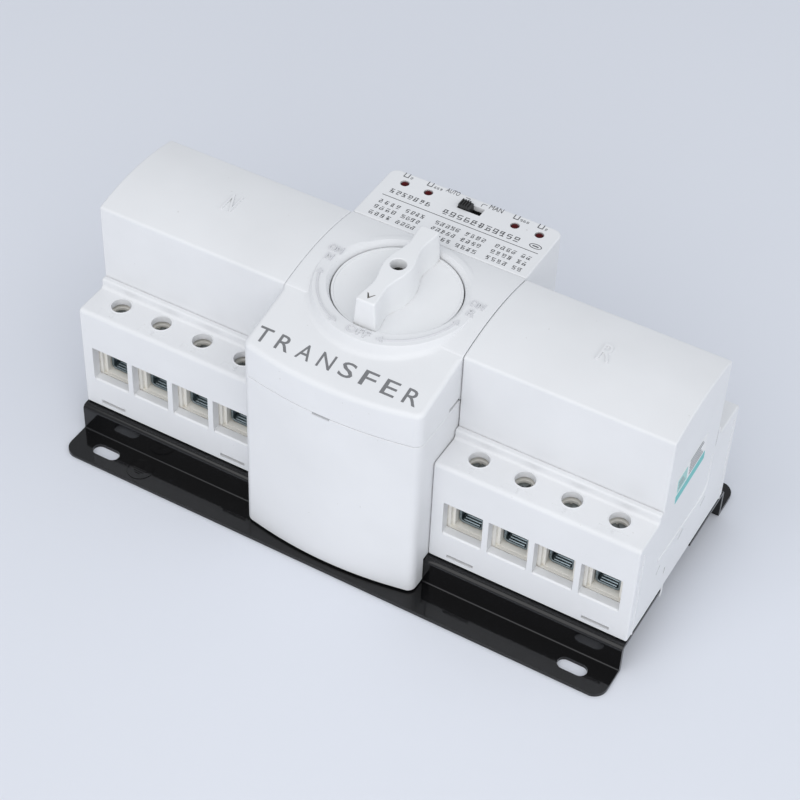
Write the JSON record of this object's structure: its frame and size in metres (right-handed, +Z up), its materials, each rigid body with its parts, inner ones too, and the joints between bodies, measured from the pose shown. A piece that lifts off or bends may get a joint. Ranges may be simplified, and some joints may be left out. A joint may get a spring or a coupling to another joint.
{
  "type": "manual transfer switch",
  "caption": "Dual-supply transfer switch on a steel plate: two multi-pole switch units, a centre drive with a rotary knob, indicator lamps and a mode slide switch.",
  "frame": {"origin": "centre of the base plate's underside, on the mounting surface", "axes": "+X to the right along the row of poles, +Y to the back, +Z up out of the mounting surface"},
  "size_m": [0.2302, 0.1184, 0.11],
  "materials": {
    "white_case": "satin moulded",
    "ivory_block": "satin moulded",
    "black_plate": "gloss powder coat",
    "zinc_steel": "zinc plated",
    "black_plastic": "satin",
    "natural_nylon": "satin",
    "circuit_board": "solder mask",
    "red_lamp": "clear dark red lens"
  },
  "bodies": {
    "frame": {"base_plate": "black_plate", "n_enclosure": "white_case", "r_enclosure": "white_case", "n_pole_block": "ivory_block", "r_pole_block": "ivory_block", "n_front_terminal_1": "zinc_steel", "n_front_terminal_2": "zinc_steel", "n_front_terminal_3": "zinc_steel", "n_front_terminal_4": "zinc_steel", "n_rear_terminal_1": "zinc_steel", "n_rear_terminal_2": "zinc_steel", "n_rear_terminal_3": "zinc_steel", "n_rear_terminal_4": "zinc_steel", "r_front_terminal_1": "zinc_steel", "r_front_terminal_2": "zinc_steel", "r_front_terminal_3": "zinc_steel", "r_front_terminal_4": "zinc_steel", "r_rear_terminal_1": "zinc_steel", "r_rear_terminal_2": "zinc_steel", "r_rear_terminal_3": "zinc_steel", "r_rear_terminal_4": "zinc_steel", "n_front_screw_1": "zinc_steel", "n_front_screw_2": "zinc_steel", "n_front_screw_3": "zinc_steel", "n_front_screw_4": "zinc_steel", "n_rear_screw_1": "zinc_steel", "n_rear_screw_2": "zinc_steel", "n_rear_screw_3": "zinc_steel", "n_rear_screw_4": "zinc_steel", "r_front_screw_1": "zinc_steel", "r_front_screw_2": "zinc_steel", "r_front_screw_3": "zinc_steel", "r_front_screw_4": "zinc_steel", "r_rear_screw_1": "zinc_steel", "r_rear_screw_2": "zinc_steel", "r_rear_screw_3": "zinc_steel", "r_rear_screw_4": "zinc_steel", "centre_chassis": "black_plastic", "gear_deck": "zinc_steel", "front_cover": "white_case", "centre_cap": "white_case", "control_box": "white_case", "motor": "zinc_steel", "circuit_board": "circuit_board", "mode_switch_body": "black_plastic", "indicator_lamp_1": "red_lamp", "indicator_lamp_2": "red_lamp", "indicator_lamp_3": "red_lamp", "indicator_lamp_4": "red_lamp"},
    "knob": {"rotary_knob": "white_case", "knob_screw": "zinc_steel", "drive_shaft": "zinc_steel", "drive_gear": "natural_nylon"},
    "motor_rotor": {"motor_pinion": "zinc_steel"},
    "transfer": {"transfer_bar": "natural_nylon", "n_contact_carrier": "natural_nylon", "r_contact_carrier": "natural_nylon"},
    "mode_slide_body": {"mode_slider": "black_plastic"}
  },
  "joints": [
    {"name": "knob_turn", "type": "hinge", "parent": "frame", "child": "knob", "pos_m": [0, -0.00725, 0.098], "axis": [0, 0, 1], "range_deg": [-90, 90]},
    {"name": "pinion_spin", "type": "hinge", "parent": "frame", "child": "motor_rotor", "pos_m": [0, 0.01675, 0.039], "axis": [0, 0, 1], "range_deg": [-360, 360]},
    {"name": "transfer_slide", "type": "slide", "parent": "frame", "child": "transfer", "axis": [1, 0, 0], "range_m": [-0.00511, 0.00511]},
    {"name": "mode_slide", "type": "slide", "parent": "frame", "child": "mode_slide_body", "axis": [1, 0, 0], "range_m": [0, 0.0041]}
  ],
  "couplings": [
    {"joint": "pinion_spin", "follows": "knob_turn", "ratio": -4},
    {"joint": "transfer_slide", "follows": "knob_turn", "m_per_rad": 0.00325}
  ]
}
